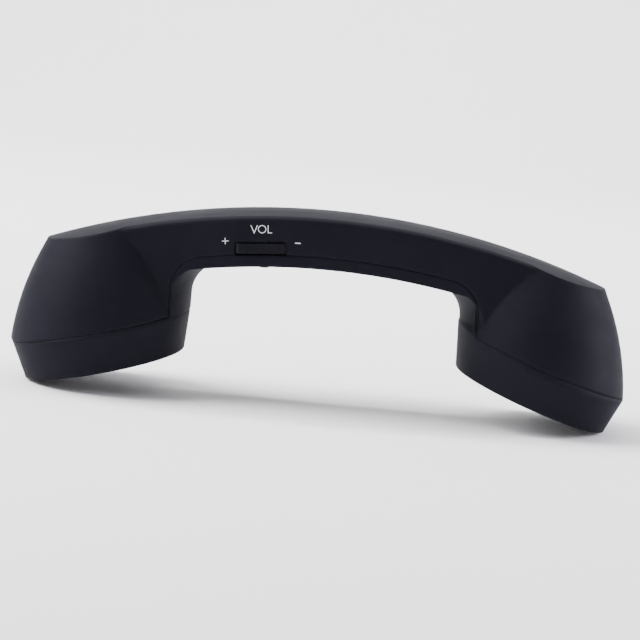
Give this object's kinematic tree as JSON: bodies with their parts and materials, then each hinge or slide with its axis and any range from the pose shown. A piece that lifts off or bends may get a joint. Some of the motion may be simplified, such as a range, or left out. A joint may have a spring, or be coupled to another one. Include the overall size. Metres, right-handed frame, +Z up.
{
  "type": "telephone handset",
  "caption": "Cordless telephone handset with an arched flat-sided handle, round ear and mouth cups, a volume key and an answer button.",
  "frame": {"origin": "centre of the bounding box on the plane that both cup rims rest on", "axes": "+X from the ear cup to the mouth cup, -Y is the side with the volume key, +Z up"},
  "size_m": [0.2099, 0.0608, 0.066],
  "materials": {
    "shell": "soft-touch satin",
    "cap": "fine matt",
    "key": "satin",
    "steel": "plain",
    "board": "solder mask",
    "inner_plastic": "plain",
    "battery": "foil",
    "foam": "foam",
    "light": "frosted",
    "diaphragm": "film",
    "boot": "moulded",
    "lead": "insulated wire"
  },
  "bodies": {
    "handset": {"upper_shell": "shell", "lower_shell": "shell", "ear_cap": "cap", "mouth_cap": "cap", "key_pin": "steel", "main_board": "board", "radio_module": "steel", "answer_switch": "inner_plastic", "volume_board": "board", "volume_switches": "inner_plastic", "battery_cell": "battery", "battery_pad": "foam", "charge_board": "board", "charge_port": "steel", "status_light": "light", "speaker_frame": "inner_plastic", "speaker_magnet": "steel", "speaker_cone": "diaphragm", "speaker_gasket": "foam", "ear_screen": "foam", "microphone": "steel", "microphone_boot": "boot", "mouth_screen": "foam", "ear_weight": "steel", "mouth_weight": "steel", "shell_screws": "steel", "board_screws": "steel", "weight_screws": "steel", "speaker_lead": "lead", "microphone_lead": "lead", "battery_lead": "lead"},
    "volume_key": {"volume_key": "key"},
    "answer_button": {"answer_button": "key"}
  },
  "joints": [
    {"name": "volume_rock", "type": "hinge", "parent": "handset", "child": "volume_key", "pos_m": [-0.0226, -0.0149, 0.05078], "axis": [-0.0896, 0, 0.996], "range_deg": [-2.5, 2.5], "stiffness_Nm_per_rad": 0.19},
    {"name": "answer_press", "type": "slide", "parent": "handset", "child": "answer_button", "axis": [-0.087, 0, 0.9962], "range_m": [0, 0.0006], "stiffness_N_per_m": 2500}
  ]
}
